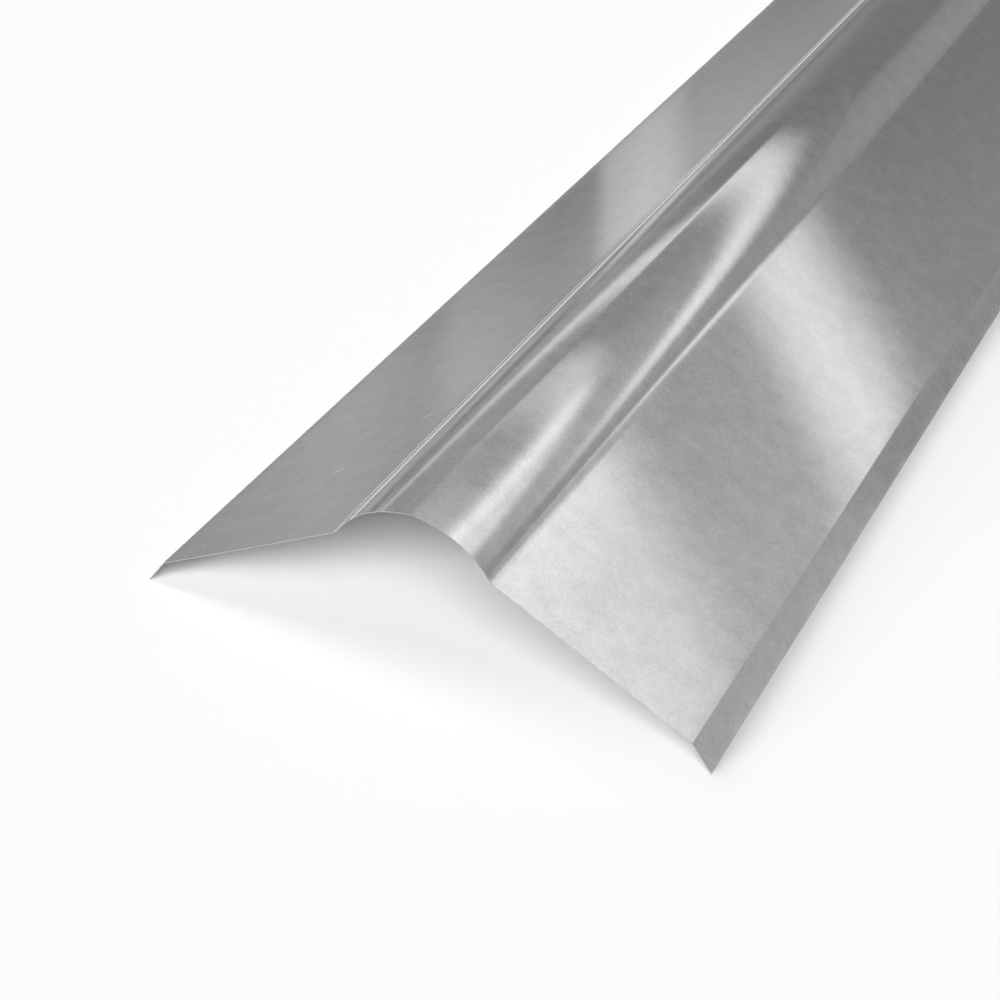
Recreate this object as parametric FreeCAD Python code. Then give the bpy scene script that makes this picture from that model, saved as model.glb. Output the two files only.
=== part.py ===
"""Roll-top ridge cap: one strip of galvanised steel sheet, folded along its whole length.

A round roll runs along the crown. On each side of it a concave root bend leads into a flat
sloping flange, which covers the roof sheets, and the flange ends in a short turned-down lip.

Millimetres and degrees. +Z is up, Y runs along the ridge and X across it. The origin is
midway along the cap, at the level of the two cut edges that it stands on.
"""

import FreeCAD, Part
import os
from math import cos, radians, sin

# The strip
cap_length = 1800.0
sheet_thickness = 0.5

# The roll, from root bend to root bend
roll_radius = 60.0  # on the top face
roll_half_angle = 55.0  # from the crown's top to where the root bend starts

# The concave bends at the roots of the roll
root_bend_radius = 18.0  # inside the bend, which is the top face

# The flanges
flange_width = 143.0  # flat, between its two bends
flange_slope = 28.0  # below the horizontal

# The turned-down lips
lip_bend_radius = 1.5  # inside the bend, which is the underside
lip_turn = 26.0  # further down than the flange
lip_width = 21.25  # flat, from the bend to the cut edge


def flat(width):
    """A flat stretch of the section, as its length and turn along the top face."""
    return width, 0.0


def bend(top_radius, turn):
    """A bend of the section, as its length and turn along the top face; positive turns upwards."""
    return top_radius * abs(radians(turn)), radians(turn)


def section_steps():
    """The flats and bends of the section, from the left cut edge to the right one."""
    left_half = [
        flat(lip_width),
        bend(lip_bend_radius + sheet_thickness, -lip_turn),
        flat(flange_width),
        bend(root_bend_radius, roll_half_angle - flange_slope),
    ]
    roll = bend(roll_radius, -2 * roll_half_angle)
    return left_half + [roll] + left_half[::-1]


def moved(point, heading, length, turn):
    """Point and heading after a stretch of the top face, straight or round."""
    if turn == 0.0:
        return point + FreeCAD.Vector(cos(heading), 0, sin(heading)) * length, heading
    radius = length / turn
    ahead = heading + turn
    chord = FreeCAD.Vector(sin(ahead) - sin(heading), 0, cos(heading) - cos(ahead))
    return point + chord * radius, ahead


def below(point, heading, depth):
    """The place in the sheet that lies at that depth under a point of the top face."""
    return point + FreeCAD.Vector(sin(heading), 0, -cos(heading)) * depth


def curve(places, turn):
    """A straight line or an arc through the start, middle and end of a stretch."""
    start, middle, end = places
    if turn == 0.0:
        return Part.LineSegment(start, end)
    return Part.Arc(start, middle, end)


def section():
    """The closed face of the folded sheet, from its first cut edge at X 0, and its span."""
    point = FreeCAD.Vector()
    heading = radians(flange_slope + lip_turn)
    top_face = []
    underside = []
    for length, turn in section_steps():
        halfway = moved(point, heading, length / 2, turn / 2)
        end = moved(point, heading, length, turn)
        stations = [(point, heading), halfway, end]
        top_face.append(curve([p for p, _ in stations], turn))
        underside.append(curve([below(p, h, sheet_thickness) for p, h in stations], turn))
        point, heading = end
    right_cut = Part.LineSegment(top_face[-1].EndPoint, underside[-1].EndPoint)
    left_cut = Part.LineSegment(underside[0].StartPoint, top_face[0].StartPoint)
    outline = top_face + [right_cut] + underside[::-1] + [left_cut]
    return Part.Face(Part.Wire([edge.toShape() for edge in outline])), point.x


def ridge_cap():
    """The folded strip, standing on its two lips and centred on the origin."""
    face, span = section()
    cap = face.extrude(FreeCAD.Vector(0, cap_length, 0))
    lowest_corner = below(FreeCAD.Vector(), radians(flange_slope + lip_turn), sheet_thickness)
    cap.translate(FreeCAD.Vector(-span / 2, -cap_length / 2, -lowest_corner.z))
    return cap


os.makedirs("parts", exist_ok=True)
ridge_cap().exportStep("parts/ridge_cap.step")
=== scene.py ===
"""Roll-top roof ridge cap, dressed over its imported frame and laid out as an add-on.

One operator folds the strip of zinc-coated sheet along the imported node's section and gives it
its finish. The other sets the floor, the studio light and the camera.
Lengths are metres, and Y runs along the ridge from the near end to the far one.
"""

from math import cos, exp, hypot, pi, radians, sin

import bpy
from bpy.props import FloatProperty, FloatVectorProperty, PointerProperty
from mathutils import Matrix, Vector, noise


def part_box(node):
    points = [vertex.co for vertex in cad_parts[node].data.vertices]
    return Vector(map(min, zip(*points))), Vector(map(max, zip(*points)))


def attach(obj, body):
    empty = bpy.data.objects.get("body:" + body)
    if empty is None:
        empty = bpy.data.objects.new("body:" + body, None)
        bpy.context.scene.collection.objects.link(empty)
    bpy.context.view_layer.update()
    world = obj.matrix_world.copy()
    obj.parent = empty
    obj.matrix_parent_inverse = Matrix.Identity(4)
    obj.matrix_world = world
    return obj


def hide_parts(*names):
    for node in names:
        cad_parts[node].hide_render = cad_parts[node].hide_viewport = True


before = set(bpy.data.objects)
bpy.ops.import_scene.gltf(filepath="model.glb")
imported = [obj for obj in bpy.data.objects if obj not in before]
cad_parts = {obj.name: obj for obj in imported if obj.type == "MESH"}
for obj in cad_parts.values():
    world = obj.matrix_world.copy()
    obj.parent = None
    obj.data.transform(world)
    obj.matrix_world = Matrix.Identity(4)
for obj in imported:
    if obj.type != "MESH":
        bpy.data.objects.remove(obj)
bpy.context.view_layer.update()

bl_info = {
    "name": "Roof Ridge Cap",
    "version": (1, 0, 0),
    "blender": (4, 5, 0),
    "location": "View3D > Sidebar > Ridge Cap",
    "description": "Folds a galvanised ridge cap over its packed frame and sets its stage",
    "category": "Object",
}

NODE = "ridge_cap"
BODY = "root"

CAP_LOW, CAP_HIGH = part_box(NODE)
CAP_LENGTH = CAP_HIGH.y - CAP_LOW.y
CAP_SPAN = CAP_HIGH.x - CAP_LOW.x


class RidgeCapSheet(bpy.types.PropertyGroup):
    """Sizes of the folded sheet"""

    thickness: FloatProperty(
        name="Sheet thickness", description="Gauge of the coated sheet",
        default=0.0005, min=0.0002, unit="LENGTH", precision=5,
    )
    roll_radius: FloatProperty(
        name="Roll radius", description="Radius of the roll's top face",
        default=0.060, min=0.005, unit="LENGTH",
    )
    roll_half_angle: FloatProperty(
        name="Roll half angle", description="From the top of the crown to where the root bend starts",
        default=radians(55), min=0.1, max=pi / 2, subtype="ANGLE",
    )
    root_bend_radius: FloatProperty(
        name="Root bend radius", description="Inside radius of the concave bends beside the roll",
        default=0.018, min=0.001, unit="LENGTH",
    )
    flange_slope: FloatProperty(
        name="Flange slope", description="Fall of the flanges below the horizontal",
        default=radians(28), min=0.0, max=pi / 3, subtype="ANGLE",
    )
    lip_bend_radius: FloatProperty(
        name="Lip bend radius", description="Inside radius of the fold between a flange and its lip",
        default=0.0015, min=0.0002, unit="LENGTH", precision=4,
    )
    lip_turn: FloatProperty(
        name="Lip turn", description="How much further down than the flange the lip is turned",
        default=radians(26), min=0.01, max=pi / 2, subtype="ANGLE",
    )
    lip_width: FloatProperty(
        name="Lip width", description="Flat width of the lip, from its fold to its cut edge",
        default=0.02125, min=0.002, unit="LENGTH", precision=5,
    )
    edge_round: FloatProperty(
        name="Edge rounding", description="Worn corner along the sheared edges",
        default=0.0001, min=0.0, unit="LENGTH", precision=5,
    )
    flange_wave: FloatProperty(
        name="Flange waviness", description="Height of the shallow swells in the flat sheet",
        default=0.0002, min=0.0, unit="LENGTH", precision=5,
    )
    wave_length: FloatProperty(
        name="Wave length", description="Length of those swells along the cap",
        default=0.35, min=0.05, unit="LENGTH",
    )
    crown_crease: FloatProperty(
        name="Crown crease", description="Height of the slight crease that forming leaves on the crown",
        default=0.001, min=0.0, unit="LENGTH", precision=4,
    )


class RidgeCapFinish(bpy.types.PropertyGroup):
    """Colours and grain of the zinc coating"""

    zinc_light: FloatVectorProperty(
        name="Light zinc", description="Colour of the brighter spangle",
        default=(0.685, 0.685, 0.69), min=0.0, max=1.0, subtype="COLOR",
    )
    zinc_dark: FloatVectorProperty(
        name="Dark zinc", description="Colour of the duller spangle",
        default=(0.56, 0.56, 0.567), min=0.0, max=1.0, subtype="COLOR",
    )
    cut_steel: FloatVectorProperty(
        name="Cut steel", description="Colour of the sheared edges",
        default=(0.85, 0.85, 0.845), min=0.0, max=1.0, subtype="COLOR",
    )
    scratch_bright: FloatVectorProperty(
        name="Scratch", description="Colour of bright scratches in the zinc",
        default=(0.95, 0.95, 0.95), min=0.0, max=1.0, subtype="COLOR",
    )
    roughness: FloatProperty(
        name="Roughness", description="Roughness of clean zinc",
        default=0.085, min=0.0, max=1.0, subtype="FACTOR",
    )
    roughness_spread: FloatProperty(
        name="Roughness spread", description="How much rougher the dullest zinc is",
        default=0.05, min=0.0, max=1.0, subtype="FACTOR",
    )
    spangle_size: FloatProperty(
        name="Spangle size", description="Width of a zinc crystal",
        default=0.0016, min=0.0005, unit="LENGTH", precision=4,
    )
    grain_size: FloatProperty(
        name="Grain size", description="Width of the fine orange-peel grain",
        default=0.0012, min=0.0002, unit="LENGTH", precision=4,
    )
    line_spacing: FloatProperty(
        name="Roll line spacing", description="Spacing of the fine lines that the forming rolls leave",
        default=0.0016, min=0.0002, unit="LENGTH", precision=4,
    )
    relief: FloatProperty(
        name="Grain relief", description="Height of the grain and the lines",
        default=0.0000012, min=0.0, unit="LENGTH", precision=7,
    )


class RidgeCapStage(bpy.types.PropertyGroup):
    """Floor, light and camera"""

    floor_colour: FloatVectorProperty(
        name="Floor", description="Colour of the pale floor",
        default=(0.72, 0.72, 0.72), min=0.0, max=1.0, subtype="COLOR",
    )
    floor_glow: FloatProperty(
        name="Floor glow", description="White that the floor adds in pictures and reflections",
        default=0.03, min=0.0, max=1.0, subtype="FACTOR",
    )
    side_light: FloatProperty(
        name="Side light", description="Strength of the soft light from the left",
        default=1.35, min=0.0,
    )
    front_light: FloatProperty(
        name="Front light", description="Strength of the low soft light on the near end",
        default=4.0, min=0.0,
    )
    right_light: FloatProperty(
        name="Right light", description="Strength of the soft light from the right of the near end",
        default=2.7, min=0.0,
    )
    # Glow of the strips painted on the leaning panels, which are no lamps and show only in reflections
    painted_strip_glow: FloatProperty(
        name="Strip light", description="Brightness of the lit strips that the sheet mirrors",
        default=0.72, min=0.0,
    )
    # Glow of the window painted on the leaning panels, which are no lamps and show only in reflections
    painted_window_glow: FloatProperty(
        name="Window light", description="Brightness of the window that the near end mirrors",
        default=0.44, min=0.0,
    )
    room_dark: FloatProperty(
        name="Room, dark", description="Brightness of the room beyond the ends of the cap",
        default=0.265, min=0.0,
    )
    room_light: FloatProperty(
        name="Room, light", description="Brightness of the room overhead",
        default=0.75, min=0.0,
    )
    room_fill: FloatProperty(
        name="Room fill", description="Share of the room's light that reaches matt surfaces",
        default=0.1, min=0.0, max=1.0, subtype="FACTOR",
    )
    lens: FloatProperty(
        name="Lens", description="Focal length on a 36 mm sensor, in millimetres",
        default=72.0, min=10.0,
    )
    camera_place: FloatVectorProperty(
        name="Camera", description="Camera, from the floor under the middle of the near end",
        default=(0.4661, -0.8061, 0.7889), subtype="XYZ", unit="LENGTH",
    )
    camera_aim: FloatVectorProperty(
        name="Aim", description="Point that the camera looks at, from the same place",
        default=(-0.0358, 0.1844, 0.0), subtype="XYZ", unit="LENGTH",
    )
    camera_roll: FloatProperty(
        name="Camera roll", description="Tilt of the camera about its own axis",
        default=radians(0.62), subtype="ANGLE",
    )


class RidgeCapSettings(bpy.types.PropertyGroup):
    """All that the ridge cap's operators read"""

    sheet: PointerProperty(type=RidgeCapSheet, name="Sheet", description="Sizes of the folded sheet")
    finish: PointerProperty(type=RidgeCapFinish, name="Finish", description="Look of the zinc coating")
    stage: PointerProperty(type=RidgeCapStage, name="Stage", description="Floor, light and camera")


# The folded section

# Divisions of each stretch of the mesh
LIP_DIVISIONS = 4
FOLD_DIVISIONS = 6
FLANGE_DIVISIONS = 24
ROOT_DIVISIONS = 20
ROLL_DIVISIONS = 96
LENGTH_DIVISIONS = 180

# The crease along the crown: its place beside the middle of the roll, and how soon it dies out
CREASE_OFFSET = 0.0016
CREASE_LEFT_WIDTH = 0.0068
CREASE_RIGHT_WIDTH = 0.011
CREASE_ROUND = 0.0012

WAVE_SPREAD = 40.0  # sets the swells of the two flanges apart


class Stretch:
    """A flat or a bend of the section, from its start on the sheet's top face."""

    def __init__(self, length, turn, divisions, kind):
        self.length = length
        self.turn = turn
        self.divisions = divisions
        self.kind = kind
        self.start = self.x = self.z = self.heading = 0.0

    def at(self, run):
        """X, Z and heading after that length of the stretch."""
        if self.turn == 0.0:
            return self.x + run * cos(self.heading), self.z + run * sin(self.heading), self.heading
        radius = self.length / self.turn
        heading = self.heading + self.turn * run / self.length
        x = self.x + radius * (sin(heading) - sin(self.heading))
        z = self.z + radius * (cos(self.heading) - cos(heading))
        return x, z, heading


class Section:
    """The sheet's section, traced on its top face from the left cut edge to the right one."""

    def __init__(self, sheet):
        self.sheet = sheet
        slope = sheet.flange_slope
        half_angle = sheet.roll_half_angle
        lip_slope = slope + sheet.lip_turn
        fold_radius = sheet.lip_bend_radius + sheet.thickness
        half_without_flange = (
            sheet.roll_radius * sin(half_angle)
            + sheet.root_bend_radius * (sin(half_angle) - sin(slope))
            + fold_radius * (sin(lip_slope) - sin(slope))
            + sheet.lip_width * cos(lip_slope)
        )
        flange_width = (CAP_SPAN / 2 - half_without_flange) / cos(slope)
        root_turn = half_angle - slope
        left = [
            (sheet.lip_width, 0.0, LIP_DIVISIONS, "lip"),
            (fold_radius * sheet.lip_turn, -sheet.lip_turn, FOLD_DIVISIONS, "bend"),
            (flange_width, 0.0, FLANGE_DIVISIONS, "flange"),
            (sheet.root_bend_radius * root_turn, root_turn, ROOT_DIVISIONS, "bend"),
        ]
        roll = (sheet.roll_radius * 2 * half_angle, -2 * half_angle, ROLL_DIVISIONS, "roll")
        self.stretches = [Stretch(*step) for step in left + [roll] + left[::-1]]
        x, z, heading = CAP_LOW.x, CAP_LOW.z + sheet.thickness * cos(lip_slope), lip_slope
        self.girth = 0.0
        for stretch in self.stretches:
            stretch.start, stretch.x, stretch.z, stretch.heading = self.girth, x, z, heading
            self.girth += stretch.length
            x, z, heading = stretch.at(stretch.length)

    def stretch_at(self, across):
        """The stretch that holds that distance from the left cut edge."""
        for stretch in self.stretches:
            if across <= stretch.start + stretch.length:
                return stretch
        return self.stretches[-1]

    def stations(self):
        """Distances from the left cut edge at which the mesh is divided."""
        found = [self.sheet.edge_round]
        for stretch in self.stretches:
            step = stretch.length / stretch.divisions
            found += [stretch.start + step * (i + 1) for i in range(stretch.divisions)]
        found[-1] = self.girth - self.sheet.edge_round
        return found

    def place(self, across, along, depth):
        """The point that far from the left edge and the near end, and that deep under the top face."""
        stretch = self.stretch_at(across)
        x, z, heading = stretch.at(across - stretch.start)
        rise = self.swell(stretch, across, along) - depth
        return Vector((x - sin(heading) * rise, CAP_LOW.y + along, z + cos(heading) * rise))

    def swell(self, stretch, across, along):
        """Height of the crease along the roll, or of the shallow swells in a flange."""
        if stretch.kind == "roll":
            return self.crease(across - self.girth / 2 - CREASE_OFFSET)
        if stretch.kind != "flange":
            return 0.0
        share = (across - stretch.start) / stretch.length
        spot = Vector((stretch.start * WAVE_SPREAD, along / self.sheet.wave_length, share))
        return self.sheet.flange_wave * sin(pi * share) ** 2 * noise.noise(spot)

    def crease(self, beside):
        """Height of the crown's crease at that distance to the right of it."""
        width = CREASE_LEFT_WIDTH if beside < 0 else CREASE_RIGHT_WIDTH
        distance = hypot(beside, CREASE_ROUND) - CREASE_ROUND
        return self.sheet.crown_crease * exp(-distance / width)


# The sheet's mesh

FLAT_PLACE = "flat_place"  # a vertex's place on the unfolded sheet, and 0 on its top face or 1 underneath
FORMED = "formed"  # how strongly the forming rolls have marked the sheet there
FORMED_WIDTH = 0.006  # how far beside a bend those marks reach
FACE_MATERIAL = 0
RIM_MATERIAL = 1

# The unfolded map: the top face, the underside beside it, and the rim above both
BAKE_MAP = "OFBake"
MAP_MARGIN = 0.006
MAP_WIDTH = 0.485
MAP_HEIGHT = 0.94
RIM_MAP_LOW = 0.96
RIM_MAP_STEP = 0.01


def formed(section, across):
    """How strongly the forming rolls have marked the sheet there, from 0 to 1."""
    marks = [0.0]
    for stretch in section.stretches:
        if stretch.kind == "bend":
            outside = max(stretch.start - across, across - stretch.start - stretch.length, 0.0)
            marks.append(max(0.0, 1 - outside / FORMED_WIDTH))
    return max(marks)


def flattened(rows):
    """The values of all rows in one list."""
    return [value for row in rows for value in row]


class SheetMesh:
    """Vertices, faces and per-vertex values of the folded sheet."""

    def __init__(self, section):
        self.section = section
        self.across = section.stations()
        edge = section.sheet.edge_round
        step = CAP_LENGTH / LENGTH_DIVISIONS
        self.along = [edge] + [step * j for j in range(1, LENGTH_DIVISIONS)] + [CAP_LENGTH - edge]
        self.points = []
        self.flat_places = []
        self.marks = []
        self.faces = []
        self.maps = []
        self.rim_start = 0

    def add_point(self, across, along, depth):
        """Adds a vertex, with its place on the unfolded sheet."""
        self.points.append(self.section.place(across, along, depth))
        side = depth / self.section.sheet.thickness
        self.flat_places.append((across - self.section.girth / 2, along - CAP_LENGTH / 2, side))
        self.marks.append(formed(self.section, across))
        return len(self.points) - 1

    def add_face_grid(self, depth, map_left, faces_up):
        """Adds the top face or the underside, and returns its vertices by column and row."""
        grid = [[self.add_point(a, b, depth) for b in self.along] for a in self.across]
        for i in range(len(self.across) - 1):
            for j in range(len(self.along) - 1):
                corners = [(i, j), (i + 1, j), (i + 1, j + 1), (i, j + 1)]
                if not faces_up:
                    corners.reverse()
                self.faces.append([grid[a][b] for a, b in corners])
                self.maps.append([self.map_place(a, b, map_left) for a, b in corners])
        return grid

    def map_place(self, column, row, map_left):
        """Where a vertex of a face grid lies on the unfolded map."""
        u = map_left + MAP_WIDTH * self.across[column] / self.section.girth
        return u, MAP_MARGIN + MAP_HEIGHT * self.along[row] / CAP_LENGTH

    def add_rim(self, top, underside):
        """Closes the sheet along its cut edges, with a worn corner on each side."""
        last_column, last_row = len(self.across) - 1, len(self.along) - 1
        loop = [(i, 0) for i in range(last_column + 1)]
        loop += [(last_column, j) for j in range(1, last_row + 1)]
        loop += [(i, last_row) for i in range(last_column - 1, -1, -1)]
        loop += [(0, j) for j in range(last_row - 1, 0, -1)]
        sheet = self.section.sheet
        rings = [[top[i][j] for i, j in loop]]
        for depth in (sheet.edge_round, sheet.thickness - sheet.edge_round):
            rings.append([self.add_point(*self.out_to_edge(i, j), depth) for i, j in loop])
        rings.append([underside[i][j] for i, j in loop])
        self.rim_start = len(self.faces)
        for upper in range(len(rings) - 1):
            for k in range(len(loop)):
                following = (k + 1) % len(loop)
                corners = [(upper, k), (upper + 1, k), (upper + 1, following), (upper, following)]
                self.faces.append([rings[ring][place] for ring, place in corners])
                shares = [(upper, k), (upper + 1, k), (upper + 1, k + 1), (upper, k + 1)]
                self.maps.append([self.rim_map_place(ring, place / len(loop)) for ring, place in shares])

    def out_to_edge(self, column, row):
        """A boundary vertex's place on the unfolded sheet, moved out to the cut edge."""
        across = self.across[column]
        along = self.along[row]
        if column in (0, len(self.across) - 1):
            across = 0.0 if column == 0 else self.section.girth
        if row in (0, len(self.along) - 1):
            along = 0.0 if row == 0 else CAP_LENGTH
        return across, along

    def rim_map_place(self, ring, share):
        """Where a vertex of the rim lies on the unfolded map."""
        return MAP_MARGIN + (1 - 2 * MAP_MARGIN) * share, RIM_MAP_LOW + RIM_MAP_STEP * ring

    def build(self, name):
        """Makes the Blender mesh, smooth on its faces and sharp along its cut edges."""
        underside_left = MAP_MARGIN * 2 + MAP_WIDTH
        top = self.add_face_grid(0.0, MAP_MARGIN, True)
        underside = self.add_face_grid(self.section.sheet.thickness, underside_left, False)
        self.add_rim(top, underside)
        mesh = bpy.data.meshes.new(name)
        mesh.from_pydata(self.points, [], self.faces)
        mesh.shade_smooth()
        self.sharpen_edges(mesh)
        places = mesh.attributes.new(FLAT_PLACE, "FLOAT_VECTOR", "POINT")
        places.data.foreach_set("vector", flattened(self.flat_places))
        marks = mesh.attributes.new(FORMED, "FLOAT", "POINT")
        marks.data.foreach_set("value", self.marks)
        uv_map = mesh.uv_layers.new(name=BAKE_MAP)
        uv_map.uv.foreach_set("vector", flattened(flattened(self.maps)))
        for polygon in mesh.polygons:
            polygon.material_index = FACE_MATERIAL if polygon.index < self.rim_start else RIM_MATERIAL
        mesh.validate()
        return mesh

    def sharpen_edges(self, mesh):
        """Marks the edges where the rim meets the top face and the underside."""
        rim = self.faces[self.rim_start:]
        rim_edges = {frozenset(pair) for face in rim for pair in zip(face, face[1:] + face[:1])}
        face_points = 2 * len(self.across) * len(self.along)
        sharp = mesh.attributes.new("sharp_edge", "BOOLEAN", "EDGE")
        for edge in mesh.edges:
            ends = frozenset(edge.vertices)
            sharp.data[edge.index].value = ends in rim_edges and max(ends) < face_points


# Shader nodes

VECTOR = "NodeSocketVector"
FLOAT = "NodeSocketFloat"
WHITE = (1.0, 1.0, 1.0, 1.0)

# Places of a Mix node's sockets for colours
MIX_FIRST = 6
MIX_SECOND = 7
MIX_RESULT = 2


class NodeMaker:
    """Adds nodes to one node tree and joins them."""

    def __init__(self, tree):
        self.tree = tree

    def feed(self, socket, value):
        """Links an output to a socket, or sets the socket's own value."""
        if isinstance(value, bpy.types.NodeSocket):
            self.tree.links.new(value, socket)
        else:
            socket.default_value = value

    def add(self, kind, inputs=None, **settings):
        """Adds a node of that kind, and sets its properties and, by socket name, its inputs."""
        node = self.tree.nodes.new(kind)
        for name, value in settings.items():
            setattr(node, name, value)
        for name, value in (inputs or {}).items():
            self.feed(node.inputs[name], value)
        return node

    def calc(self, operation, *values):
        """The result of a Math node."""
        node = self.add("ShaderNodeMath", operation=operation)
        for socket, value in zip(node.inputs, values):
            self.feed(socket, value)
        return node.outputs[0]

    def total(self, *values):
        """Values added up."""
        result = values[0]
        for value in values[1:]:
            result = self.calc("ADD", result, value)
        return result

    def product(self, *values):
        """Values multiplied together."""
        result = values[0]
        for value in values[1:]:
            result = self.calc("MULTIPLY", result, value)
        return result

    def ramp(self, value, low, high, start=0.0, end=1.0, easing="LINEAR"):
        """A value carried evenly from one range to another, and held at its ends."""
        return self.add("ShaderNodeMapRange", {
            "Value": value, "From Min": low, "From Max": high, "To Min": start, "To Max": end,
        }, interpolation_type=easing).outputs[0]

    def step(self, value, low, high, start=0.0, end=1.0):
        """A value carried from one range to another with soft ends."""
        return self.ramp(value, low, high, start, end, easing="SMOOTHSTEP")

    def mix(self, factor, first, second):
        """Two colours mixed by a factor."""
        node = self.add("ShaderNodeMix", {"Factor": factor}, data_type="RGBA")
        self.feed(node.inputs[MIX_FIRST], opaque(first))
        self.feed(node.inputs[MIX_SECOND], opaque(second))
        return node.outputs[MIX_RESULT]

    def attribute(self, name, output):
        """A value that the mesh stores under that name."""
        node = self.add("ShaderNodeAttribute", attribute_type="GEOMETRY", attribute_name=name)
        return node.outputs[output]

    def parts(self, vector):
        """The X, Y and Z of a vector."""
        node = self.add("ShaderNodeSeparateXYZ", {"Vector": vector})
        return [node.outputs[axis] for axis in "XYZ"]

    def seen(self):
        """1 for what the camera, a mirror or clear glass looks at, and 0 for light that spreads."""
        light_path = self.add("ShaderNodeLightPath")
        found = light_path.outputs["Is Camera Ray"]
        for ray in ("Is Glossy Ray", "Is Transmission Ray"):
            found = self.calc("MAXIMUM", found, light_path.outputs[ray])
        return found


def opaque(colour):
    """A plain colour with full alpha; an output is passed on as it is."""
    return colour if isinstance(colour, bpy.types.NodeSocket) else (*colour, 1.0)


def grey(shade):
    """A neutral colour of that brightness."""
    return shade, shade, shade, 1.0


def new_group(name, inputs, outputs):
    """A shader node group with those sockets: its maker, its input node and its output node."""
    group = bpy.data.node_groups.new(name, "ShaderNodeTree")
    for socket, kind in inputs:
        group.interface.new_socket(socket, in_out="INPUT", socket_type=kind)
    for socket, kind in outputs:
        group.interface.new_socket(socket, in_out="OUTPUT", socket_type=kind)
    return NodeMaker(group), group.nodes.new("NodeGroupInput"), group.nodes.new("NodeGroupOutput")


def new_material(name):
    """A node material with only its output: the material, its maker and that output."""
    material = bpy.data.materials.new(name)
    material.use_nodes = True
    material.node_tree.nodes.clear()
    make = NodeMaker(material.node_tree)
    return material, make, make.add("ShaderNodeOutputMaterial")


# The zinc coating

NOISE_BAND = (0.3, 0.7)  # where most values of a noise lie
GRAIN_DETAIL = 2.0
SMUDGES_PER_METRE = 55.0
SMUDGE_DETAIL = 4.0
SMUDGE_ROUGHNESS = 0.6
LINE_STRETCH = (1.0, 0.004, 1.0)
LINE_DETAIL = 3.0
LINE_ROUGHNESS = 0.6

# Weights of each effect in the zinc's brightness, dullness and relief
BRIGHT_SPANGLE = 0.5
BRIGHT_SMUDGE = 0.5
DULL_SPANGLE = 0.35
DULL_SMUDGE = 0.35
DULL_FORMED = 0.7
GRAIN_HEIGHT = 0.5
LINE_HEIGHT = 0.15

# Scratches on the left flange, from start to end across and along the unfolded sheet, from its middle
SCRATCHES = (
    ((-0.1285, -0.8121), (-0.1156, -0.8058)),
    ((-0.0913, -0.7517), (-0.0794, -0.7450)),
)
SCRATCH_HALF_WIDTH = 0.0022
SCRATCH_ROUGHNESS = 0.25
TOP_SIDE = 0.5  # a flat place whose third value is less than this is on the top face

CUT_ROUGHNESS = (0.45, 0.6)
CUT_GRAIN_SHARE = 0.5  # size of the grain on the sheared edges, against that on the faces


def zinc_grain_group():
    """Crystals of the zinc, the fine grain over them and wider smudges, as values from 0 to 1."""
    make, start, end = new_group(
        "zinc_grain",
        [("Place", VECTOR), ("Spangle Size", FLOAT), ("Grain Size", FLOAT)],
        [("Spangle", FLOAT), ("Grain", FLOAT), ("Smudge", FLOAT)],
    )
    place = start.outputs["Place"]
    crystals_per_metre = make.calc("DIVIDE", 1.0, start.outputs["Spangle Size"])
    grains_per_metre = make.calc("DIVIDE", 1.0, start.outputs["Grain Size"])
    crystals = make.add("ShaderNodeTexVoronoi", {
        "Vector": place, "Scale": crystals_per_metre, "Randomness": 1.0,
    }, feature="F1", voronoi_dimensions="3D")
    shade = make.add("ShaderNodeSeparateColor", {"Color": crystals.outputs["Color"]})
    grain = make.add("ShaderNodeTexNoise", {
        "Vector": place, "Scale": grains_per_metre, "Detail": GRAIN_DETAIL,
    })
    smudge = make.add("ShaderNodeTexNoise", {
        "Vector": place, "Scale": SMUDGES_PER_METRE, "Detail": SMUDGE_DETAIL, "Roughness": SMUDGE_ROUGHNESS,
    })
    make.feed(end.inputs["Spangle"], shade.outputs["Red"])
    make.feed(end.inputs["Grain"], grain.outputs["Fac"])
    make.feed(end.inputs["Smudge"], make.step(smudge.outputs["Fac"], *NOISE_BAND))
    return make.tree


def roll_lines(make, place, spacing):
    """Fine lines along the cap, left by the forming rolls, as a value from 0 to 1."""
    stretched = make.add("ShaderNodeVectorMath", operation="MULTIPLY")
    make.feed(stretched.inputs[0], place)
    make.feed(stretched.inputs[1], LINE_STRETCH)
    lines = make.add("ShaderNodeTexNoise", {
        "Vector": stretched.outputs[0], "Scale": 1 / spacing,
        "Detail": LINE_DETAIL, "Roughness": LINE_ROUGHNESS,
    })
    return make.ramp(lines.outputs["Fac"], *NOISE_BAND)


def scratch_mask(make, place, start, end):
    """A thin straight scratch between two places on the unfolded sheet, fading at its ends."""
    run = Vector(end) - Vector(start)
    middle = (Vector(start) + Vector(end)) / 2
    turn = -Vector((1, 0)).angle_signed(run)
    local = make.add("ShaderNodeMapping", {
        "Vector": place, "Location": (*middle, 0.0), "Rotation": (0.0, 0.0, turn),
    }, vector_type="TEXTURE")
    x, y, z = make.parts(local.outputs[0])
    lengthways = make.step(make.calc("ABSOLUTE", x), 0.0, run.length / 2, 1.0, 0.0)
    sideways = make.step(make.calc("ABSOLUTE", y), 0.0, SCRATCH_HALF_WIDTH, 1.0, 0.0)
    return make.product(lengthways, sideways, make.calc("LESS_THAN", z, TOP_SIDE))


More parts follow.
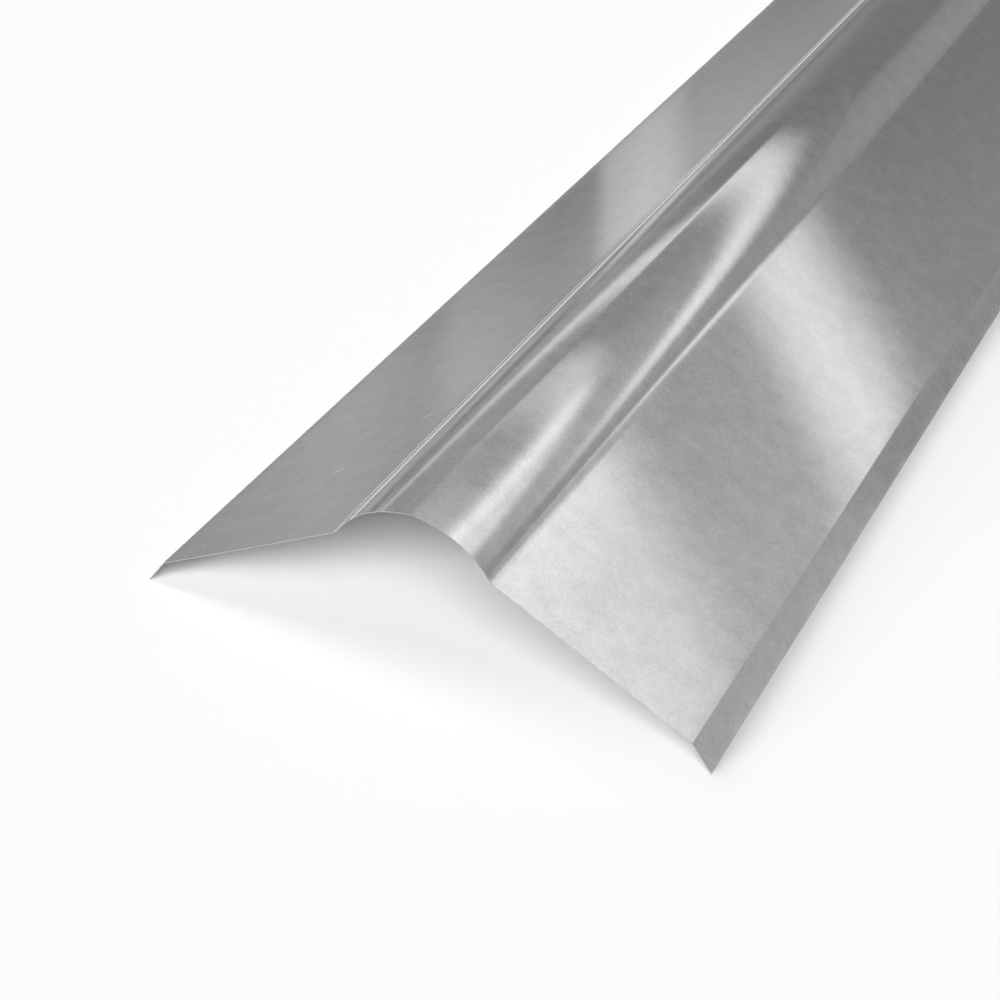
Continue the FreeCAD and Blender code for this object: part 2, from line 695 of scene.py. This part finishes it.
def galvanised_material(finish, grain_group):
    """Bare zinc coating: spangle in its colour and gloss, fine grain and roll lines in its relief."""
    material, make, output = new_material("galvanised_zinc")
    place = make.attribute(FLAT_PLACE, "Vector")
    formed_mark = make.attribute(FORMED, "Fac")
    grain = make.add("ShaderNodeGroup", {
        "Place": place, "Spangle Size": finish.spangle_size, "Grain Size": finish.grain_size,
    }, node_tree=grain_group)
    spangle = grain.outputs["Spangle"]
    smudge = grain.outputs["Smudge"]
    scratch = make.total(*[scratch_mask(make, place, start, end) for start, end in SCRATCHES])
    brightness = make.total(make.product(spangle, BRIGHT_SPANGLE), make.product(smudge, BRIGHT_SMUDGE))
    colour = make.mix(brightness, finish.zinc_dark, finish.zinc_light)
    colour = make.mix(scratch, colour, finish.scratch_bright)
    dullness = make.total(make.product(spangle, DULL_SPANGLE), make.product(smudge, DULL_SMUDGE))
    dullness = make.total(dullness, make.product(formed_mark, DULL_FORMED))
    roughest = finish.roughness + finish.roughness_spread
    roughness = make.ramp(dullness, 0.0, 1.0, finish.roughness, roughest)
    roughness = make.total(roughness, make.product(scratch, SCRATCH_ROUGHNESS))
    lines = roll_lines(make, place, finish.line_spacing)
    height = make.total(make.product(grain.outputs["Grain"], GRAIN_HEIGHT), make.product(lines, LINE_HEIGHT))
    height = make.product(height, make.calc("SUBTRACT", 1.0, formed_mark))
    bump = make.add("ShaderNodeBump", {"Strength": 1.0, "Distance": finish.relief, "Height": height})
    shader = make.add("ShaderNodeBsdfPrincipled", {
        "Base Color": colour, "Metallic": 1.0, "Roughness": roughness, "Normal": bump.outputs["Normal"],
    })
    make.feed(output.inputs["Surface"], shader.outputs["BSDF"])
    return material


def cut_edge_material(finish, grain_group):
    """Sheared steel along the cut edges, with the zinc smeared over it."""
    material, make, output = new_material("sheared_edge")
    grain = make.add("ShaderNodeGroup", {
        "Place": make.attribute(FLAT_PLACE, "Vector"),
        "Spangle Size": finish.spangle_size * CUT_GRAIN_SHARE,
        "Grain Size": finish.grain_size * CUT_GRAIN_SHARE,
    }, node_tree=grain_group)
    colour = make.mix(grain.outputs["Spangle"], finish.zinc_light, finish.cut_steel)
    roughness = make.ramp(grain.outputs["Grain"], *NOISE_BAND, *CUT_ROUGHNESS)
    shader = make.add("ShaderNodeBsdfPrincipled", {
        "Base Color": colour, "Metallic": 1.0, "Roughness": roughness,
    })
    make.feed(output.inputs["Surface"], shader.outputs["BSDF"])
    return material


class RIDGECAP_OT_fold_sheet(bpy.types.Operator):
    """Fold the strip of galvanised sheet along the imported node's section"""

    bl_idname = "ridge_cap.fold_sheet"
    bl_label = "Fold the Sheet"

    def execute(self, context):
        settings = context.scene.ridge_cap
        mesh = SheetMesh(Section(settings.sheet)).build("folded_sheet")
        grain_group = zinc_grain_group()
        mesh.materials.append(galvanised_material(settings.finish, grain_group))
        mesh.materials.append(cut_edge_material(settings.finish, grain_group))
        sheet = bpy.data.objects.new("folded_sheet", mesh)
        context.scene.collection.objects.link(sheet)
        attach(sheet, BODY)
        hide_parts(NODE)
        return {"FINISHED"}


# The stage

FLOOR_SIZE = 400.0
SOFT_LIGHT_ANGLE = radians(26)
SIDE_LIGHT_FROM = (-1.28, 0.0, 1.0)
FRONT_LIGHT_FROM = (-1.3, -2.79, 1.0)
RIGHT_LIGHT_FROM = (0.55, -0.96, 1.0)

# In what follows a run is a start and an end, by place or angle, and the values there if not 0 and 1

# Cards beside the cap, which its flange and lip mirror instead of the white floor. They are no lamps: each
# glows with painted tones and shows only in reflections, so the tones are painted reflections
CARD_LENGTH = 3.0
CARD_LIFT = 0.0005
LEFT_CARD_AT = -0.35
LEFT_CARD_HEIGHT = 0.14
RIGHT_CARD_AT = 0.35
RIGHT_CARD_HEIGHT = 0.095

# Painted glow along each upright card, by distance from the middle of the cap, on lines that lean by
# CARD_LEAN
CARD_LEAN = 1.8
LEFT_CARD_TONES = (
    (-0.72, 0.43), (-0.50, 0.51), (-0.36, 0.44), (-0.29, 0.52), (-0.10, 0.37), (-0.01, 0.37),
    (0.03, 0.61), (0.12, 0.68), (0.18, 0.63), (0.25, 0.45), (0.64, 0.32),
)
RIGHT_CARD_TONES = ((-0.72, 0.55), (-0.42, 0.51), (-0.28, 0.43), (0.08, 0.42))
CARD_RISE = (0.0, 0.07, -0.085, 0.065)  # painted glow, lighter from the floor up
CARD_RISE_SHARE = (-0.45, -0.35)  # but not beside the near end
CARD_TOP = (0.085, 0.105, 1.0, 0.70)  # and painted darker again at the top

FLOOR_CARD_TONE = (-0.27, -0.245, 0.38, 0.92)  # painted glow, from the left card to lightest beside the lip

# Two panels lean outwards over the cap, one for each half of it. They are no lamps: they glow with painted
# tones that show only in reflections
PANEL_FOOT = 0.15  # where a panel's plane meets the floor, past the middle of the cap
PANEL_LEAN = 0.6  # how far it leans for each metre of height
PANEL_LOW = 0.22
PANEL_HIGH = 0.95
PANEL_HALF_WIDTH = 0.9

# The painted glow of a panel's wall, across and then upwards, over the dark of the room
WALL_LEFT = (-0.15, -0.5, 0.0, 0.20)
WALL_FAR_LEFT = (-0.6, -0.85, 0.0, -0.10)
WALL_LEFT_SHARE = (0.42, 0.32, 0.35, 1.0)
WALL_RIGHT = (0.0, 0.45, 0.0, 0.22)
WALL_FAR_RIGHT = (0.6, 0.9, 0.0, -0.12)
WALL_BEHIND_STRIP = (0.30, 0.36, 0.0, 0.11)
WALL_ABOVE_STRIPS = (0.56, 0.66, 0.0, 0.12)
WALL_TOP = (0.66, 0.76, 0.0, 0.25)

# The lower painted strip of glow: its lift on the left, the heights of its foot, crest and head, and its two
# ends
STRIP_LIFT = (-0.1, -0.25, 0.0, 0.022)
STRIP_FOOT = (0.0, 0.3, 0.27, 0.247)
STRIP_FOOT_RIGHT = (0.3, 0.5, 0.0, 0.03)
STRIP_CREST_LOW = 0.317
STRIP_CREST_HIGH = 0.324
STRIP_HEAD = (0.25, 0.5, 0.387, 0.40)
STRIP_RIGHT_END = (0.75, 0.35)
STRIP_LEFT_END = (-0.1, -0.6, 1.0, 0.38)

# The upper painted strip of glow
UPPER_STRIP_FOOT = (0.505, 0.545)
UPPER_STRIP_HEAD = (0.63, 0.565)
UPPER_STRIP_LEFT_END = (-0.5, 0.0)
UPPER_STRIP_RIGHT_END = (0.32, 0.2)
UPPER_STRIP_SHARE = 0.7

# The painted glow of a window, and the paler bar beside it
WINDOW_SILL = (0.42, 0.62, 0.475, 0.5)
WINDOW_FULL = (0.42, 0.62, 0.56, 0.58)
WINDOW_LEFT_END = (0.1, 0.28)
WINDOW_RIGHT_END = (0.95, 0.55)
BAR_FOOT = (0.5, 0.58)
BAR_LEFT_END = (0.2, 0.28)
BAR_RIGHT_END = (0.4, 0.32)
BAR_SHARE = 0.4

# The room, by azimuth from the line of the cap and by height above the horizon
ROOM_RIGHT = (radians(12), radians(17), 0.0, 0.1)
ROOM_FAR_RIGHT = (radians(17), radians(50), 0.0, 0.11)
ROOM_LEFT = (radians(-22), radians(-45), 0.0, 0.35)
ROOM_LEFT_SHARE = (radians(4), radians(9), 0.3, 1.0)
ROOM_FAR_LEFT = (radians(-45), radians(-75), 0.0, 0.35)
ROOM_FAR_LEFT_SHARE = (radians(8), radians(30))
ROOM_SIDES_SHARE = (radians(50), radians(68), 1.0, 0.0)
ROOM_OVERHEAD = (radians(38), radians(60))


def floor_material(stage):
    """Pale matt floor that reads as white in pictures and reflections, and keeps the shadows."""
    material, make, output = new_material("pale_floor")
    glow = make.product(make.seen(), stage.floor_glow)
    matt = make.add("ShaderNodeBsdfDiffuse", {"Color": opaque(stage.floor_colour)})
    white = make.add("ShaderNodeEmission", {"Color": WHITE, "Strength": glow})
    both = make.add("ShaderNodeAddShader")
    make.feed(both.inputs[0], matt.outputs[0])
    make.feed(both.inputs[1], white.outputs[0])
    make.feed(output.inputs["Surface"], both.outputs[0])
    return material


class LitSurface:
    """A material that only glows, with a tone that is made from the place's X, Y and Z."""

    def __init__(self, name):
        self.material, self.make, output = new_material(name)
        coordinates = self.make.add("ShaderNodeTexCoord")
        self.x, self.y, self.z = self.make.parts(coordinates.outputs["Object"])
        self.glow = self.make.add("ShaderNodeEmission", {"Color": WHITE})
        self.make.feed(output.inputs["Surface"], self.glow.outputs[0])

    def shine(self, tone):
        """Sets the tone, and returns the material."""
        self.make.feed(self.glow.inputs["Strength"], tone)
        return self.material


def card_material(name, tones):
    """An upright card that glows with a painted tone along its length and towards its top, a painted
    reflection.
    """
    card = LitSurface(name)
    make = card.make
    along = make.total(card.y, make.product(card.z, CARD_LEAN))
    first, last = tones[0][0], tones[-1][0]
    shades = make.add("ShaderNodeValToRGB", {"Fac": make.ramp(along, first, last)})
    elements = shades.color_ramp.elements
    elements[0].color = grey(tones[0][1])
    elements[1].color = grey(tones[-1][1])
    for distance, shade in tones[1:-1]:
        elements.new((distance - first) / (last - first)).color = grey(shade)
    # Painted glow that is lighter from the floor up and darker again at the top
    rise = make.product(make.ramp(card.z, *CARD_RISE), make.step(card.y, *CARD_RISE_SHARE))
    tone = make.total(shades.outputs["Color"], rise)
    return card.shine(make.product(tone, make.step(card.z, *CARD_TOP)))


def floor_card_material():
    """The card on the floor, which glows with a painted tone that is lightest beside the lip, a painted
    reflection.
    """
    card = LitSurface("floor_card")
    return card.shine(card.make.step(card.x, *FLOOR_CARD_TONE))


def panel_material(stage):
    """A leaning panel that glows with painted reflections: two bright strips across a wall, and a window on
    the right.
    """
    panel = LitSurface("leaning_panel")
    make, x, z = panel.make, panel.x, panel.z
    # Painted glow of the panel's wall over the dark of the room
    left = make.total(make.ramp(x, *WALL_LEFT), make.ramp(x, *WALL_FAR_LEFT))
    left = make.product(left, make.step(z, *WALL_LEFT_SHARE))
    right = make.total(make.ramp(x, *WALL_RIGHT), make.ramp(x, *WALL_FAR_RIGHT))
    upwards = [make.step(z, *run) for run in (WALL_BEHIND_STRIP, WALL_ABOVE_STRIPS, WALL_TOP)]
    wall = make.total(stage.room_dark, right, left, *upwards)

    level = make.calc("SUBTRACT", z, make.step(x, *STRIP_LIFT))
    foot = make.total(make.ramp(x, *STRIP_FOOT), make.ramp(x, *STRIP_FOOT_RIGHT))
    head = make.ramp(x, *STRIP_HEAD)
    # Painted glow of the lower strip, seen only in reflections
    strip = make.product(
        make.step(level, foot, STRIP_CREST_LOW), make.step(level, head, STRIP_CREST_HIGH),
        make.ramp(x, *STRIP_RIGHT_END), make.ramp(x, *STRIP_LEFT_END), stage.painted_strip_glow,
    )
    upper_strip = make.product(
        make.step(z, *UPPER_STRIP_FOOT), make.step(z, *UPPER_STRIP_HEAD),
        make.ramp(x, *UPPER_STRIP_LEFT_END), make.ramp(x, *UPPER_STRIP_RIGHT_END),
        stage.painted_strip_glow * UPPER_STRIP_SHARE,
    )
    # Painted glow of a window and of a paler bar beside it, seen only in reflections
    window = make.product(
        make.step(z, make.ramp(x, *WINDOW_SILL), make.ramp(x, *WINDOW_FULL)),
        make.step(x, *WINDOW_LEFT_END), make.ramp(x, *WINDOW_RIGHT_END), stage.painted_window_glow,
    )
    bar = make.product(
        make.step(z, *BAR_FOOT), make.step(x, *BAR_LEFT_END), make.step(x, *BAR_RIGHT_END),
        stage.painted_window_glow * BAR_SHARE,
    )
    return panel.shine(make.total(wall, strip, upper_strip, window, bar))


def stage_panel(name, corners, material, seen=True):
    """A flat stage panel; one that isn't seen shows only in reflections."""
    mesh = bpy.data.meshes.new(name)
    mesh.from_pydata(corners, [], [range(len(corners))])
    mesh.materials.append(material)
    panel = bpy.data.objects.new(name, mesh)
    bpy.context.scene.collection.objects.link(panel)
    panel.visible_camera = seen
    panel.visible_diffuse = seen
    panel.visible_shadow = seen


def level_corners(x_low, x_high, half_length, z):
    """Corners of a level rectangle about the middle of the cap."""
    near, far = -half_length, half_length
    return [(x_low, near, z), (x_high, near, z), (x_high, far, z), (x_low, far, z)]


def upright_corners(x, half_length, z_low, z_high):
    """Corners of an upright rectangle along the cap."""
    near, far = -half_length, half_length
    return [(x, near, z_low), (x, far, z_low), (x, far, z_high), (x, near, z_high)]


def leaning_corners(side):
    """Corners of a leaning panel; side is 1 for the near half of the cap and -1 for the far half."""
    corners = []
    for x, z in (
        (-PANEL_HALF_WIDTH, PANEL_LOW), (PANEL_HALF_WIDTH, PANEL_LOW),
        (PANEL_HALF_WIDTH, PANEL_HIGH), (-PANEL_HALF_WIDTH, PANEL_HIGH),
    ):
        corners.append((x, side * (PANEL_FOOT - PANEL_LEAN * z), z))
    return corners


def set_reflectors(stage, ground):
    """Glowing cards and panels, no lamps, whose painted tones the sheet mirrors."""
    half_length = CARD_LENGTH / 2
    left = upright_corners(LEFT_CARD_AT, half_length, ground, ground + LEFT_CARD_HEIGHT)
    right = upright_corners(RIGHT_CARD_AT, half_length, ground, ground + RIGHT_CARD_HEIGHT)
    level = level_corners(LEFT_CARD_AT, CAP_LOW.x, half_length, ground + CARD_LIFT)
    stage_panel("left_card", left, card_material("left_card", LEFT_CARD_TONES), seen=False)
    stage_panel("right_card", right, card_material("right_card", RIGHT_CARD_TONES), seen=False)
    stage_panel("floor_card", level, floor_card_material(), seen=False)
    leaning = panel_material(stage)
    stage_panel("near_panel", leaning_corners(1), leaning, seen=False)
    stage_panel("far_panel", leaning_corners(-1), leaning, seen=False)


def soft_sun(name, comes_from, strength):
    """A wide soft light from one direction, which lights the floor evenly."""
    lamp = bpy.data.lights.new(name, "SUN")
    lamp.energy = strength
    lamp.angle = SOFT_LIGHT_ANGLE
    light = bpy.data.objects.new(name, lamp)
    light.rotation_euler = Vector(comes_from).to_track_quat("Z", "Y").to_euler()
    light.visible_glossy = False
    bpy.context.scene.collection.objects.link(light)


def studio_world(stage):
    """A grey room, darker beyond each end of the cap and lighter at its sides and overhead."""
    world = bpy.data.worlds.new("studio_room")
    world.use_nodes = True
    world.node_tree.nodes.clear()
    make = NodeMaker(world.node_tree)
    x, y, z = make.parts(make.add("ShaderNodeTexCoord").outputs["Generated"])
    azimuth = make.calc("ARCTAN2", x, make.calc("ABSOLUTE", y))
    height = make.calc("ARCSINE", z)
    right = make.total(make.ramp(azimuth, *ROOM_RIGHT), make.ramp(azimuth, *ROOM_FAR_RIGHT))
    left = make.product(make.ramp(azimuth, *ROOM_LEFT), make.step(height, *ROOM_LEFT_SHARE))
    far_left = make.product(make.ramp(azimuth, *ROOM_FAR_LEFT), make.step(height, *ROOM_FAR_LEFT_SHARE))
    sides = make.product(make.total(right, left, far_left), make.step(height, *ROOM_SIDES_SHARE))
    overhead = make.step(height, *ROOM_OVERHEAD, stage.room_dark, stage.room_light)
    share = make.ramp(make.seen(), 0.0, 1.0, stage.room_fill, 1.0)
    brightness = make.product(make.total(overhead, sides), share)
    background = make.add("ShaderNodeBackground", {"Color": WHITE, "Strength": brightness})
    output = make.add("ShaderNodeOutputWorld")
    make.feed(output.inputs["Surface"], background.outputs[0])
    return world


def photo_camera(stage):
    """A camera with the photograph's view of the near end."""
    near_end = Vector((0.0, CAP_LOW.y, CAP_LOW.z))
    place = near_end + Vector(stage.camera_place)
    aim = near_end + Vector(stage.camera_aim)
    facing = (place - aim).to_track_quat("Z", "Y").to_matrix().to_4x4()
    lens = bpy.data.cameras.new("camera")
    lens.lens = stage.lens
    camera = bpy.data.objects.new("camera", lens)
    camera.matrix_world = Matrix.Translation(place) @ facing @ Matrix.Rotation(stage.camera_roll, 4, "Z")
    bpy.context.scene.collection.objects.link(camera)
    return camera


class RIDGECAP_OT_set_stage(bpy.types.Operator):
    """Set the floor, the studio light and the camera"""

    bl_idname = "ridge_cap.set_stage"
    bl_label = "Set the Stage"

    def execute(self, context):
        scene = context.scene
        stage = scene.ridge_cap.stage
        ground = CAP_LOW.z
        half_floor = FLOOR_SIZE / 2
        floor = level_corners(-half_floor, half_floor, half_floor, ground)
        stage_panel("floor", floor, floor_material(stage))
        set_reflectors(stage, ground)
        soft_sun("side_light", SIDE_LIGHT_FROM, stage.side_light)
        soft_sun("front_light", FRONT_LIGHT_FROM, stage.front_light)
        soft_sun("right_light", RIGHT_LIGHT_FROM, stage.right_light)
        scene.world = studio_world(stage)
        scene.camera = photo_camera(stage)
        scene.view_settings.view_transform = "Standard"
        return {"FINISHED"}


class RIDGECAP_PT_sidebar(bpy.types.Panel):
    """Settings and operators of the ridge cap"""

    bl_label = "Ridge Cap"
    bl_space_type = "VIEW_3D"
    bl_region_type = "UI"
    bl_category = "Ridge Cap"

    def draw(self, context):
        settings = context.scene.ridge_cap
        self.draw_settings(settings.sheet)
        self.draw_settings(settings.finish)
        self.layout.operator(RIDGECAP_OT_fold_sheet.bl_idname)
        self.draw_settings(settings.stage)
        self.layout.operator(RIDGECAP_OT_set_stage.bl_idname)

    def draw_settings(self, group):
        """Lists the settings of one group."""
        column = self.layout.column(align=True)
        for name in group.__annotations__:
            column.prop(group, name)


CLASSES = (
    RidgeCapSheet,
    RidgeCapFinish,
    RidgeCapStage,
    RidgeCapSettings,
    RIDGECAP_OT_fold_sheet,
    RIDGECAP_OT_set_stage,
    RIDGECAP_PT_sidebar,
)


def register():
    """Registers the classes, and gives each scene its ridge cap settings."""
    for cls in CLASSES:
        bpy.utils.register_class(cls)
    bpy.types.Scene.ridge_cap = PointerProperty(type=RidgeCapSettings)


def unregister():
    """Takes the settings and the classes away again."""
    del bpy.types.Scene.ridge_cap
    for cls in reversed(CLASSES):
        bpy.utils.unregister_class(cls)


def main():
    """Builds the ridge cap and its stage."""
    register()
    bpy.ops.ridge_cap.fold_sheet()
    bpy.ops.ridge_cap.set_stage()


if __name__ == "__main__":
    main()
